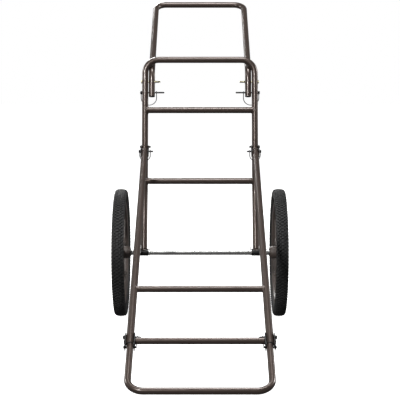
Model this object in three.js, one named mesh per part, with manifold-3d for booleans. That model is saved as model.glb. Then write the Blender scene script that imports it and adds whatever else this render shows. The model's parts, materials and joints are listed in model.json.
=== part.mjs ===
// Folding two-wheeled game cart, standing on its wheels and its front bar.
// Millimetres. +X to the right, -Y towards the front bar, +Z up.
// The cart is drawn over the axle and then moved, so that the origin is the centre of its footprint.

import * as THREE from 'three';
import { mergeVertices } from 'three/addons/utils/BufferGeometryUtils.js';
import Module from 'manifold-3d';

const wasm = await Module();
wasm.setup();

// ---------------------------------------------------------------- driving dimensions

const gap = 0.3; // left between pieces that touch

// wheels and axle
const wheelRadius = 255;
const wheelX = 316;
const tyreWidth = 49.4;
const rimRadius = 203;
const rimDepth = 14; // from the tyre's seat in to the inside of the rim
const wheelSides = 32; // flats round a rim or tyre
const spokeCount = 5;
const spokeFork = 0.62; // where a spoke forks, as a share of the rim's inside radius
const forkSpread = 0.32; // half the angle between a spoke's two arms, in radians
const hubRadius = 25;
const hubBore = 11;
const hubInner = -36; // from the wheel's middle, towards the cart
const hubOuter = 24;
const bushFlange = 1.4;
const bushFlangeRadius = 16;
const bushDepth = 20;
const axleRadius = 11.1;
const journalRadius = 7.9; // the thinner ends that carry the wheels
const shoulderX = 275.8;
const axleEndX = 345.5;
const washerRadius = 15;
const capRadius = 13;

// main tubes
const tubeRadius = 12.7;
const smallTubeRadius = 11.1;
const wall = 1.6;
const tubeSides = 10;
const bendSteps = 4;

// side view: across is along Y from the axle, up is along Z from the ground
const railX = 225;
const legBend = { across: 95, up: 489 };
const topBar = { across: 196, up: 1025 };
const legBendRadius = 120;
const topCornerRadius = 55;
const upperCrossbarUp = 820;
const middleCrossbarUp = 533;

// handle, measured along the upright from its bolt
const handleX = 197.75;
const handleBoltUp = 935;
const handleTail = 60;
const handleLockDrop = 44.5;
const handleKink = 44;
const handleReach = 597;
const handleRise = THREE.MathUtils.degToRad(30.0); // of the grip part, over the ground
const handleKinkRadius = 60;
const handleCornerRadius = 46;
const notchStep = 4; // degrees, between the cuts that open the lock pin's notch
const notchSteps = 6;

// bed, measured along its rails from the point where they meet the uprights
const bedSlope = THREE.MathUtils.degToRad(26.9);
const bedTopUp = 671;
const bedPinAt = 36.4;
const bedRailStart = 23;
const bedRailEnd = 1242.5;
const bedCrossbarAt = 951.5;
const bedEndSweep = 15.8; // no corner of a rail's top end is further from its pin

// front foot, on the ends of the bed rails
const footPivotAt = 1206;
const footCrossbarAt = 1224;
const footStart = 41; // from the pivot to the end of the tube
const footBoltAt = 49; // from the pivot to the bolt that holds the tube in its brackets
const footBarAt = 1459;
const footX = 223.2;
const footCornerRadius = 50;

// hardware
const pinRadius = 3.2;
const pinFlange = 1.8; // thickness
const pinFlangeRadius = 7.5;
const pinButton = 1.8;
const pinButtonRadius = 6.5;
const handlePinTip = 146.6; // from the middle plane
const shortPinTip = 190.5;
const boltRadius = 3.95;
const bigHeadRadius = 8;
const smallHeadRadius = 6.5;
const handleBoltReach = 22; // past the inside of the handle arm
const bracketBoltReach = 7; // past the inner ear
const pushNut = { radius: 6.5, thickness: 1.6, dish: 0.6 };
const wireRadius = 1.6;
const clipRadius = 1.4;
const sheet = 3; // bracket thickness
const bracketInside = 13.3; // half the width between a bracket's ears
const webStep = 0.6; // how far a bracket's web stands below its ears
const sleeveRadius = 14.3;
const sleeveLength = 36;
const clipX = 203.9;
const plugHead = 3;
const handlePlugDepth = 12;
const railPlugDepth = 8;

// wire bails: how far they hang under their pin, and the bend at their two corners
const handleBailDrop = 52;
const handleBailCorner = 30;
const handleBailLean = THREE.MathUtils.degToRad(19.5); // from the pin back and up to the upright
const shortBailDrop = 37;
const shortBailCorner = 21;
const bailEyeOffset = 6.5; // from the last tube or ear to the eye on a pin's tip
const pinNeck = 2 * wireRadius + 0.6; // room for an eye between a pin's flange and button

// ---------------------------------------------------------------- finishes

const finish = (color, roughness, metalness) => ({ color, roughness, metalness });
const bronzeCoat = finish(0x54493f, 0.45, 0.35);
const blackCoat = finish(0x1d1c1b, 0.5, 0.3);
const zinc = finish(0xb4b4b2, 0.35, 0.9);
const springWire = finish(0x55555a, 0.4, 0.8);
const yellowZinc = finish(0x9a9578, 0.4, 0.8);
const mouldedPlastic = finish(0x45403b, 0.55, 0);
const tyreRubber = finish(0x262626, 0.85, 0);
const plugPlastic = finish(0x151515, 0.6, 0);
const bushPlastic = finish(0x2b2b2a, 0.5, 0);

// ---------------------------------------------------------------- helpers

const { cos, sin, tan, PI } = Math;
const sides = [['left', -1], ['right', 1]];

// A closed geometry as a solid that can be joined and cut.
function toSolid(geometry) {
  const bare = geometry.clone();
  bare.deleteAttribute('normal');
  bare.deleteAttribute('uv');
  const merged = mergeVertices(bare, 1e-4);
  return new wasm.Manifold(new wasm.Mesh({
    numProp: 3,
    vertProperties: new Float32Array(merged.attributes.position.array),
    triVerts: new Uint32Array(merged.index.array),
  }));
}

function toGeometry(solid) {
  const { vertProperties, triVerts } = solid.getMesh();
  const geometry = new THREE.BufferGeometry();
  geometry.setAttribute('position', new THREE.BufferAttribute(vertProperties, 3));
  geometry.setIndex(new THREE.BufferAttribute(triVerts, 1));
  geometry.computeVertexNormals();
  return geometry;
}

function piece(name, solid, look) {
  const mesh = new THREE.Mesh(toGeometry(solid), new THREE.MeshStandardMaterial(look));
  mesh.name = name;
  return mesh;
}

function ring(radius, count) {
  const points = [];
  for (let i = 0; i < count; i++) {
    const turn = (2 * PI * i) / count;
    points.push(new THREE.Vector2(radius * cos(turn), radius * sin(turn)));
  }
  return points;
}

// Straight stretches in one step, bends in several: the stations are spread evenly over the curve.
class StationPath extends THREE.Curve {
  constructor(stations) {
    super();
    this.stations = stations;
  }

  getPoint(t, target = new THREE.Vector3()) {
    const last = this.stations.length - 1;
    const place = Math.min(t * last, last);
    const index = Math.min(Math.floor(place + 1e-6), last - 1);
    return target.lerpVectors(this.stations[index], this.stations[index + 1], place - index);
  }

  getPointAt(u, target) {
    return this.getPoint(u, target);
  }

  getTangentAt(u, target = new THREE.Vector3()) {
    const last = this.stations.length - 1;
    const index = Math.round(u * last);
    const before = this.stations[Math.max(index - 1, 0)];
    const after = this.stations[Math.min(index + 1, last)];
    const here = this.stations[index];
    const arriving = here.clone().sub(before).normalize();
    const leaving = after.clone().sub(here).normalize();
    return target.copy(arriving).add(leaving).normalize();
  }
}

// Corner points with a bend radius at each inner corner become the stations of a bent tube.
function bentPath(corners, radii, steps = bendSteps) {
  const stations = [corners[0]];
  for (let i = 1; i < corners.length - 1; i++) {
    const toBefore = corners[i - 1].clone().sub(corners[i]).normalize();
    const toAfter = corners[i + 1].clone().sub(corners[i]).normalize();
    const half = toBefore.angleTo(toAfter) / 2;
    const middle = toBefore.clone().add(toAfter).normalize();
    const centre = corners[i].clone().addScaledVector(middle, radii[i - 1] / sin(half));
    const start = corners[i].clone().addScaledVector(toBefore, radii[i - 1] / tan(half)).sub(centre);
    const end = corners[i].clone().addScaledVector(toAfter, radii[i - 1] / tan(half)).sub(centre);
    const sweep = start.angleTo(end);
    for (let s = 0; s <= steps; s++) {
      const share = s / steps;
      const spoke = start.clone().multiplyScalar(sin((1 - share) * sweep) / sin(sweep));
      spoke.addScaledVector(end, sin(share * sweep) / sin(sweep));
      stations.push(spoke.add(centre));
    }
  }
  stations.push(corners[corners.length - 1]);
  return new StationPath(stations);
}

function bar(path, radius, count = tubeSides) {
  const shape = new THREE.Shape(ring(radius, count));
  const steps = path.stations.length - 1;
  return toSolid(new THREE.ExtrudeGeometry(shape, { steps, extrudePath: path, bevelEnabled: false }));
}

function tube(path, radius, thickness = wall) {
  const shape = new THREE.Shape(ring(radius, tubeSides));
  shape.holes.push(new THREE.Path(ring(radius - thickness, tubeSides)));
  const steps = path.stations.length - 1;
  return toSolid(new THREE.ExtrudeGeometry(shape, { steps, extrudePath: path, bevelEnabled: false }));
}

const straight = (from, to) => new StationPath([from, to]);
const along = (x, y, z) => new THREE.Vector3(x, y, z);
const acrossX = (x0, x1, y = 0, z = 0) => straight(along(x0, y, z), along(x1, y, z));

// A solid of turning, given as [radius, x] points, with its axis along X.
function turned(profile, count = 16) {
  const points = profile.map(([radius, x]) => new THREE.Vector2(radius, x));
  return toSolid(new THREE.LatheGeometry(points, count).rotateZ(-PI / 2));
}

// A plate drawn in the side view, from x0 to x1.
function plate(outline, x0, x1) {
  const shape = new THREE.Shape(outline.map(([y, z]) => new THREE.Vector2(y, z)));
  const geometry = new THREE.ExtrudeGeometry(shape, { depth: x1 - x0, bevelEnabled: false });
  return toSolid(geometry.applyMatrix4(new THREE.Matrix4().set(
    0, 0, 1, x0,
    1, 0, 0, 0,
    0, 1, 0, 0,
    0, 0, 0, 1,
  )));
}

function block(x0, x1, y0, y1, z0, z1) {
  return plate([[y0, z0], [y1, z0], [y1, z1], [y0, z1]], x0, x1);
}

// A cutter that clears a round bar of the given radius by the gap.
function clearance(path, radius, count = 16) {
  return bar(path, radius / cos(PI / count) + gap, count);
}

const mirrored = (solid, side) => (side < 0 ? solid.mirror([1, 0, 0]) : solid);

// ---------------------------------------------------------------- upright

const upperLean = Math.atan2(topBar.across - legBend.across, topBar.up - legBend.up);
const onUpright = (up) => legBend.across + (up - legBend.up) * tan(upperLean);
const handleBolt = along(0, onUpright(handleBoltUp), handleBoltUp);
const lockFromBolt = along(0, -sin(upperLean), -cos(upperLean)).multiplyScalar(handleLockDrop);
const handleLock = handleBolt.clone().add(lockFromBolt);
const bedAxis = (at) => along(0, onUpright(bedTopUp) - at * cos(bedSlope), bedTopUp - at * sin(bedSlope));
const bedPin = bedAxis(bedPinAt);

const uprightPath = bentPath([
  along(-railX, 0, wheelRadius),
  along(-railX, legBend.across, legBend.up),
  along(-railX, topBar.across, topBar.up),
  along(railX, topBar.across, topBar.up),
  along(railX, legBend.across, legBend.up),
  along(railX, 0, wheelRadius),
], [legBendRadius, topCornerRadius, topCornerRadius, legBendRadius]);

const uprightCutter = clearance(uprightPath, tubeRadius);

function uprightFrame() {
  let solid = tube(uprightPath, tubeRadius);
  solid = solid.subtract(clearance(acrossX(-railX - 50, railX + 50, 0, wheelRadius), sleeveRadius));
  const holes = [[handleBolt, boltRadius], [handleLock, pinRadius], [bedAxis(0), boltRadius]];
  for (const [axis, radius] of holes) {
    solid = solid.subtract(clearance(acrossX(-railX - 50, railX + 50, axis.y, axis.z), radius, 12));
  }
  return solid;
}

function uprightCrossbar(up) {
  const solid = tube(acrossX(-railX, railX, onUpright(up), up), tubeRadius);
  return solid.subtract(uprightCutter);
}

function axleSleeve() {
  const half = sleeveLength / 2;
  const bore = (axleRadius + gap) / cos(PI / 16);
  const profile = [[bore, railX - half], [sleeveRadius, railX - half], [sleeveRadius, railX + half]];
  profile.push([bore, railX + half], [bore, railX - half]);
  return turned(profile).translate([0, 0, wheelRadius]);
}

// Two ears that straddle the leg and the top end of the bed rail, joined by a stop under the rail.
function hingeBracket() {
  const back = bedPinAt + 11;
  const front = -26;
  const high = 14;
  const low = -bracketInside - sheet;
  const outline = [
    [back, low + 12], [back - 10, low], [front + 6, low], [front, low + 6],
    [front, 2], [front + 16, high], [back - 14, high], [back, high - 12],
  ];
  const stop = [
    [front + 1, low - webStep], [front + 16, low - webStep],
    [front + 16, -bracketInside], [front + 1, -bracketInside],
  ];
  const reach = bracketInside + sheet;
  let solid = plate(outline, railX + bracketInside, railX + reach);
  solid = solid.add(plate(outline, railX - reach, railX - bracketInside));
  solid = solid.add(plate(stop, railX - reach + 1, railX + reach - 1));
  solid = solid.subtract(clearance(acrossX(railX - 50, railX + 50), pinRadius, 12));
  return solid.subtract(clearance(acrossX(railX - 50, railX + 50, bedPinAt), boltRadius, 12));
}

// ---------------------------------------------------------------- pins, bolts and wire bails

// A wire lock pin: flange, neck for the wire's eye, and end button outside, plain tip inside.
function lockPin(flangeX, tipX) {
  const neck = flangeX + pinFlange;
  const button = neck + pinNeck;
  return turned([
    [0, tipX], [pinRadius - 1, tipX], [pinRadius, tipX + 2], [pinRadius, flangeX],
    [pinFlangeRadius, flangeX], [pinFlangeRadius, neck], [pinRadius, neck], [pinRadius, button],
    [pinButtonRadius, button], [pinButtonRadius - 1, button + pinButton], [0, button + pinButton],
  ], 12);
}

// The wire that keeps a lock pin in: an eye on the neck, a bow round the tubes, an eye on the tip.
function bail(neckX, tipX, drop, cornerRadius) {
  const eye = pinRadius + gap + 0.1 + wireRadius;
  const bow = bentPath([
    along(neckX, 0, -eye), along(neckX, 0, -drop), along(tipX, 0, -drop), along(tipX, 0, -eye),
  ], [cornerRadius, cornerRadius], 4);
  let solid = bar(bow, wireRadius, 5);
  for (const x of [neckX, tipX]) {
    const eyeRing = new THREE.TorusGeometry(eye, wireRadius, 5, 10).rotateY(PI / 2).translate(x, 0, 0);
    solid = solid.add(toSolid(eyeRing));
  }
  return solid;
}

// A round-headed bolt with its head outside.
function bolt(headX, tipX, headRadius = bigHeadRadius) {
  return turned([
    [0, tipX], [boltRadius - 1, tipX], [boltRadius, tipX + 1], [boltRadius, headX],
    [headRadius, headX], [headRadius - 1, headX + 2.2], [headRadius - 4, headX + 3.8], [0, headX + 4.4],
  ], 12);
}

// A thin push-on nut that holds a bolt in the handle arm.
function pushOnNut(x1) {
  const x0 = x1 - pushNut.thickness;
  const bore = (boltRadius + gap) / cos(PI / 16);
  return turned([
    [bore, x0], [pushNut.radius, x0 + pushNut.dish], [pushNut.radius, x1], [bore, x1], [bore, x0],
  ]);
}

// ---------------------------------------------------------------- axle and wheels

function axle() {
  let solid = turned([
    [0, -axleEndX], [journalRadius, -axleEndX], [journalRadius, -shoulderX], [axleRadius, -shoulderX],
    [axleRadius, shoulderX], [journalRadius, shoulderX], [journalRadius, axleEndX], [0, axleEndX],
  ]);
  for (const x of [-clipX, clipX]) {
    solid = solid.subtract(clearance(straight(along(x, 0, -20), along(x, 0, 20)), clipRadius, 12));
  }
  return solid;
}

function washer(x0, x1, radius) {
  const bore = (journalRadius + gap) / cos(PI / 16);
  return turned([[bore, x0], [radius, x0], [radius, x1], [bore, x1], [bore, x0]]);
}

function axleCap() {
  const start = wheelX + hubOuter + bushFlange + 2 * gap;
  const bore = (journalRadius + gap) / cos(PI / 16);
  return turned([
    [0, axleEndX + gap], [bore, axleEndX + gap], [bore, start], [capRadius, start],
    [capRadius, start + 3], [capRadius - 3, axleEndX + 2.5], [0, axleEndX + 3.2],
  ]);
}

// A hairpin: the straight leg goes down through the axle, the bowed leg hugs its back.
function hairpin() {
  const hug = axleRadius + clipRadius + 0.6;
  const top = axleRadius + 5;
  const path = bentPath([
    along(0, 0, -axleRadius - 14), along(0, 0, top + 9), along(0, hug + 3, top + 9),
    along(0, hug + 1, 5), along(0, hug, -4), along(0, hug + 5, -axleRadius - 3),
  ], [6.5, 6.5, 10, 10], 4);
  return bar(path, clipRadius, 6);
}

function tyre() {
  const half = tyreWidth / 2;
  const seat = (rimRadius + gap) / cos(PI / wheelSides);
  return turned([
    [seat, -11.5], [rimRadius + 5.6, -12.4], [seat + 10, -19], [seat + 26, -half],
    [wheelRadius - 9, -half + 0.6], [wheelRadius - 1.5, -half + 5],
    [wheelRadius, 0],
    [wheelRadius - 1.5, half - 5], [wheelRadius - 9, half - 0.6],
    [seat + 26, half], [seat + 10, 19], [rimRadius + 5.6, 12.4], [seat, 11.5], [seat, -11.5],
  ], wheelSides);
}

// Moulded wheel: a rim with side flanges, forked spokes and a long hub in one piece.
function mouldedWheel() {
  const inner = rimRadius - rimDepth;
  let solid = turned([
    [inner, -15], [rimRadius + 5, -16.5], [rimRadius + 5, -13.2], [rimRadius, -12.2], [rimRadius, 12.2],
    [rimRadius + 5, 13.2], [rimRadius + 5, 16.5], [inner, 15], [inner, -15],
  ], wheelSides);
  const hub = turned([
    [hubBore, hubInner], [hubRadius - 4, hubInner], [hubRadius, hubInner + 12], [hubRadius, hubOuter - 8],
    [hubRadius - 4, hubOuter], [hubBore, hubOuter], [hubBore, hubInner],
  ]);
  solid = solid.add(hub);
  const fork = spokeFork * inner;
  const rimReach = inner + 5;
  for (let i = 0; i < spokeCount; i++) {
    const turn = (2 * PI * i) / spokeCount;
    const stem = block(-8, 8, -9, 9, hubRadius - 6, fork + 6);
    const arm = (lean) => plate([
      [-9, fork - 6], [9, fork - 6],
      [rimReach * sin(lean) + 7, rimReach * cos(lean)],
      [rimReach * sin(lean) - 7, rimReach * cos(lean)],
    ], -7, 7);
    const spoke = stem.add(arm(forkSpread)).add(arm(-forkSpread));
    solid = solid.add(spoke.rotate([(turn * 180) / PI, 0, 0]));
  }
  return solid;
}

// Flanged plain bush pressed into one end of the hub.
function bush(endX, direction) {
  const bore = (journalRadius + gap) / cos(PI / 16);
  const outer = hubBore * cos(PI / 16) - gap;
  const flange = endX + direction * (gap + bushFlange);
  const face = endX + direction * gap;
  const tail = endX - direction * bushDepth;
  const profile = [
    [bore, tail], [outer, tail], [outer, face],
    [bushFlangeRadius, face], [bushFlangeRadius, flange], [bore, flange], [bore, tail],
  ];
  return turned(direction > 0 ? profile : profile.reverse());
}

// ---------------------------------------------------------------- handle, in its own frame

// Local +Z runs up the uprights, and the bolts are on the X axis.
const gripLean = PI / 2 - handleRise - upperLean;

function handleCorners() {
  const grip = along(0, handleReach * sin(gripLean), handleKink + handleReach * cos(gripLean));
  const left = [
    along(-handleX, 0, -handleTail), along(-handleX, 0, handleKink), along(-handleX, grip.y, grip.z),
  ];
  const right = left.map((point) => along(handleX, point.y, point.z)).reverse();
  return [...left, ...right];
}

function handleFrame() {
  const radii = [handleKinkRadius, handleCornerRadius, handleCornerRadius, handleKinkRadius];
  let solid = tube(bentPath(handleCorners(), radii), tubeRadius);
  solid = solid.subtract(clearance(acrossX(-railX, railX), boltRadius, 12));
  const slot = clearance(acrossX(-railX, railX, 0, -handleLockDrop), pinRadius, 12);
  solid = solid.subtract(slot);
  // The lock pin's hole is open to the back, along the arc that the tail makes round the bolt.
  for (let step = 1; step <= notchSteps; step++) {
    solid = solid.subtract(slot.rotate([notchStep * step, 0, 0]));
  }
  return solid;
}

// A plug for a tube's end: a stem that goes in, and a domed head.
function plug(depth) {
  const inside = (tubeRadius - wall) * cos(PI / tubeSides) - gap;
  return turned([
    [0, 0], [inside, 0], [inside, depth], [tubeRadius, depth],
    [tubeRadius - 1, depth + plugHead - 0.5], [0, depth + plugHead],
  ], 12);
}

// ---------------------------------------------------------------- bed, in its own frame

// Local -Y runs down the rails, and the top pins are on the X axis.
const onBed = (at) => bedPinAt - at;

function bedRail() {
  const axis = straight(along(railX, onBed(bedRailStart), 0), along(railX, onBed(bedRailEnd), 0));
  let solid = tube(axis, tubeRadius);
  const roundEnd = bar(acrossX(railX - 30, railX + 30), bedEndSweep, 32);
  solid = solid.subtract(block(railX - 20, railX + 20, 0, 30, -20, 20).subtract(roundEnd));
  for (const y of [0, onBed(footPivotAt)]) {
    solid = solid.subtract(clearance(acrossX(railX - 20, railX + 20, y), pinRadius, 12));
  }
  return solid;
}

function bedCrossbar() {
  const solid = tube(acrossX(-railX, railX, onBed(bedCrossbarAt)), smallTubeRadius);
  return sides.reduce((cut, [, side]) => {
    const above = along(side * railX, onBed(bedCrossbarAt - 50), 0);
    const below = along(side * railX, onBed(bedCrossbarAt + 50), 0);
    return cut.subtract(clearance(straight(above, below), tubeRadius));
  }, solid);
}

// ---------------------------------------------------------------- front foot, in its own frame

// Local -Y runs down to the front bar, and the pivot pins are on the X axis.
const footReach = footBarAt - footPivotAt;

function footFrame() {
  const corners = [
    along(-footX, -footStart, 0), along(-footX, -footReach, 0),
    along(footX, -footReach, 0), along(footX, -footStart, 0),
  ];
  const solid = tube(bentPath(corners, [footCornerRadius, footCornerRadius]), smallTubeRadius);
  return solid.subtract(clearance(acrossX(-railX - 50, railX + 50, -footBoltAt), boltRadius, 12));
}

// Two ears, and a web that the rail's end rests on from above.
function footBracket() {
  const back = 18;
  const front = -footBoltAt - 7.5;
  const high = bracketInside + 1;
  const low = -bracketInside - sheet;
  const outline = [
    [back, low + 10], [back - 9, low], [front + 6, low], [front, low + 6],
    [front, high - 8], [front + 8, high], [back - 11, high], [back, high - 10],
  ];
  const web = [
    [front + 8, low - webStep], [-18, low - webStep], [-18, -bracketInside], [front + 8, -bracketInside],
  ];
  const reach = bracketInside + sheet;
  let solid = plate(outline, railX + bracketInside, railX + reach);
  solid = solid.add(plate(outline, railX - reach, railX - bracketInside));
  solid = solid.add(plate(web, railX - reach + 1, railX + reach - 1));
  for (const [y, radius] of [[0, pinRadius], [-footBoltAt, boltRadius]]) {
    solid = solid.subtract(clearance(acrossX(railX - 50, railX + 50, y), radius, 12));
  }
  return solid;
}

function footCrossbar() {
  const end = railX - bracketInside - sheet - gap;
  return tube(acrossX(-end, end, footPivotAt - footCrossbarAt), smallTubeRadius);
}

// ---------------------------------------------------------------- assembly

function frameAt(position, tilt = 0) {
  const group = new THREE.Group();
  group.position.copy(position);
  group.rotation.x = tilt;
  return group;
}

const cart = new THREE.Group();

// upright, with the axle
cart.add(piece('upright_frame', uprightFrame(), bronzeCoat));
cart.add(piece('upper_crossbar', uprightCrossbar(upperCrossbarUp), bronzeCoat));
cart.add(piece('middle_crossbar', uprightCrossbar(middleCrossbarUp), bronzeCoat));

const axleFrame = frameAt(along(0, 0, wheelRadius));
axleFrame.add(piece('axle', axle(), zinc));

const hingeFrame = frameAt(bedPin, bedSlope);
const boltFrame = frameAt(handleBolt);
const lockFrame = frameAt(handleLock);
const bedPinFrame = frameAt(bedPin);
const footPinFrame = frameAt(bedAxis(footPivotAt));

const outside = railX + tubeRadius;
const bracketOutside = railX + bracketInside + sheet;
const bracketWithin = railX - bracketInside - sheet;
const handleWithin = handleX - tubeRadius;
const neckOffset = pinFlange + pinNeck / 2; // from a lock pin's flange face to the middle of its neck
const smallBolt = () => bolt(bracketOutside + gap, bracketWithin - bracketBoltReach, smallHeadRadius);

for (const [name, side] of sides) {
  cart.add(piece(`axle_sleeve_${name}`, mirrored(axleSleeve(), side), blackCoat));
  hingeFrame.add(piece(`hinge_bracket_${name}`, mirrored(hingeBracket(), side), blackCoat));
  const bracketBolt = smallBolt().translate([0, bedPinAt, 0]);
  hingeFrame.add(piece(`bracket_bolt_${name}`, mirrored(bracketBolt, side), blackCoat));
  const topPin = lockPin(bracketOutside + gap, shortPinTip);
  bedPinFrame.add(piece(`bed_pin_${name}`, mirrored(topPin, side), blackCoat));
  const handlePin = lockPin(outside + gap, handlePinTip);
  lockFrame.add(piece(`handle_lock_pin_${name}`, mirrored(handlePin, side), blackCoat));
  const handlePivot = bolt(outside + gap, handleWithin - handleBoltReach);
  boltFrame.add(piece(`handle_bolt_${name}`, mirrored(handlePivot, side), yellowZinc));
  const handleNut = pushOnNut(handleWithin - gap);
  boltFrame.add(piece(`handle_push_nut_${name}`, mirrored(handleNut, side), yellowZinc));
  const inner = washer(shoulderX + gap, wheelX + hubInner - bushFlange - 2 * gap, washerRadius);
  axleFrame.add(piece(`axle_washer_${name}`, mirrored(inner, side), zinc));
  axleFrame.add(piece(`axle_cap_${name}`, mirrored(axleCap(), side), blackCoat));
  const clip = piece(`hairpin_${name}`, hairpin(), zinc);
  clip.position.x = side * clipX;
  axleFrame.add(clip);
}

// wire bails: those of the handle rest on the backs of the uprights, the others hang
const handleBailTilt = handleBailLean - upperLean;
const handleBailFrame = frameAt(handleLock, handleBailTilt);
for (const [name, side] of sides) {
  const longBail = bail(
    outside + gap + neckOffset, handleWithin - bailEyeOffset, handleBailDrop, handleBailCorner,
  );
  handleBailFrame.add(piece(`handle_bail_${name}`, mirrored(longBail, side), springWire));
  const shortBail = mirrored(bail(
    bracketOutside + gap + neckOffset, bracketWithin - bailEyeOffset, shortBailDrop, shortBailCorner,
  ), side);
  bedPinFrame.add(piece(`bed_pin_bail_${name}`, shortBail, springWire));
  const footPin = mirrored(lockPin(bracketOutside + gap, shortPinTip), side);
  footPinFrame.add(piece(`foot_pin_${name}`, footPin, blackCoat));
  footPinFrame.add(piece(`foot_pin_bail_${name}`, shortBail, springWire));
}

// wheels
for (const [name, side] of sides) {
  const wheelFrame = frameAt(along(side * wheelX, 0, wheelRadius));
  wheelFrame.add(piece(`tyre_${name}`, tyre(), tyreRubber));
  wheelFrame.add(piece(`wheel_${name}`, mirrored(mouldedWheel(), side), mouldedPlastic));
  wheelFrame.add(piece(`inner_bush_${name}`, mirrored(bush(hubInner, -1), side), bushPlastic));
  wheelFrame.add(piece(`outer_bush_${name}`, mirrored(bush(hubOuter, 1), side), bushPlastic));
  cart.add(wheelFrame);
}

// handle
const handleFrameGroup = frameAt(handleBolt, -upperLean);
handleFrameGroup.add(piece('handle_frame', handleFrame(), bronzeCoat));
for (const [name, side] of sides) {
  const end = piece(`handle_plug_${name}`, plug(handlePlugDepth), plugPlastic);
  end.rotation.y = PI / 2;
  end.position.set(side * handleX, 0, -handleTail + handlePlugDepth - gap);
  handleFrameGroup.add(end);
}

// bed and front foot
const bedFrame = frameAt(bedPin, bedSlope);
bedFrame.add(piece('bed_crossbar', bedCrossbar(), bronzeCoat));
const footFrameGroup = frameAt(along(0, onBed(footPivotAt), 0));
footFrameGroup.add(piece('foot_frame', footFrame(), bronzeCoat));
footFrameGroup.add(piece('foot_crossbar', footCrossbar(), bronzeCoat));
for (const [name, side] of sides) {
  bedFrame.add(piece(`bed_rail_${name}`, mirrored(bedRail(), side), bronzeCoat));
  const end = piece(`bed_rail_plug_${name}`, plug(railPlugDepth), plugPlastic);
  end.rotation.z = -PI / 2;
  end.position.set(side * railX, onBed(bedRailEnd) + railPlugDepth - gap, 0);
  bedFrame.add(end);
  footFrameGroup.add(piece(`foot_bracket_${name}`, mirrored(footBracket(), side), blackCoat));
  const footBolt = smallBolt().translate([0, -footBoltAt, 0]);
  footFrameGroup.add(piece(`foot_bolt_${name}`, mirrored(footBolt, side), blackCoat));
}
bedFrame.add(footFrameGroup);

cart.add(axleFrame, hingeFrame, boltFrame, lockFrame, bedPinFrame, footPinFrame);
cart.add(handleBailFrame, handleFrameGroup, bedFrame);

// The origin goes to the middle of the footprint.
cart.updateMatrixWorld(true);
const bounds = new THREE.Box3().setFromObject(cart, true);
cart.position.set(0, -(bounds.min.y + bounds.max.y) / 2, -bounds.min.z);

export default cart;
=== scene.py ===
import json
import math
import random

import bmesh
import bpy
from bpy.props import FloatProperty, FloatVectorProperty, IntProperty, PointerProperty
from mathutils import Matrix, Vector


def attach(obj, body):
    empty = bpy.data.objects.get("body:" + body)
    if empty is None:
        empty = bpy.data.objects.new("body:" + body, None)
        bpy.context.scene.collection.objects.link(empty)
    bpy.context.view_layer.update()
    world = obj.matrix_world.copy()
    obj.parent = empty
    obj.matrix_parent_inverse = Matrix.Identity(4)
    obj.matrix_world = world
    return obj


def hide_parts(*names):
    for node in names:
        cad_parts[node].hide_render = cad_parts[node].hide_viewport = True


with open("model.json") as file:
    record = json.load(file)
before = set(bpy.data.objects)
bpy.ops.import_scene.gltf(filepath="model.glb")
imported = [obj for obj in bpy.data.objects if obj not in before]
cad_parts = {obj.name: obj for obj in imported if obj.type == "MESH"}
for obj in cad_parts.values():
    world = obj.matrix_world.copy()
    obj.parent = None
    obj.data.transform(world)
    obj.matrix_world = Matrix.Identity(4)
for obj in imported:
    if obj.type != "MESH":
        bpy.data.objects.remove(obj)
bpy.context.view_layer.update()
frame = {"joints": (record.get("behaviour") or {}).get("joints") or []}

MM = 0.001
RAIL_STEPS = 8
HOLE_REACH = 0.3
NOTCH_STEP = 4
NOTCH_STEPS = 6
WEB_STEP = 0.6
RAIL_SIDES = 32

bl_info = {
    "name": "Folding game cart",
    "version": (1, 0, 0),
    "blender": (4, 5, 0),
    "location": "3D View > Sidebar > Cart",
    "description": "Builds a folding two-wheeled game cart from tubes, wheels and pinned brackets",
    "category": "Add Mesh",
}

JOINTS = {joint["name"]: joint for joint in frame["joints"]}
SIDES = (("left", -1), ("right", 1))


def joint_at(name):
    """Height and depth of a hinge, as a point in the middle plane of the cart."""
    place = Vector(JOINTS[name]["pos_m"])
    return Vector((0, place.y, place.z))


AXLE_AT = joint_at("wheel_spin_left")
HANDLE_BOLT_AT = joint_at("handle_fold")
HANDLE_LOCK_AT = joint_at("handle_bail_swing_left")
BED_PIN_AT = joint_at("bed_fold")
FOOT_PIN_AT = joint_at("foot_fold")
BED_LINE = (FOOT_PIN_AT - BED_PIN_AT).normalized()
WHEEL_X = abs(JOINTS["wheel_spin_left"]["pos_m"][0])


# ---------------------------------------------------------------- properties

def length(name, description, default):
    return FloatProperty(name=name, description=description, default=default, unit="LENGTH", precision=4)


def angle(name, description, degrees):
    return FloatProperty(name=name, description=description, default=math.radians(degrees), subtype="ANGLE")


def colour(name, description, default):
    return FloatVectorProperty(
        name=name, description=description, default=default, subtype="COLOR", size=3, min=0, max=1)


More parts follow.
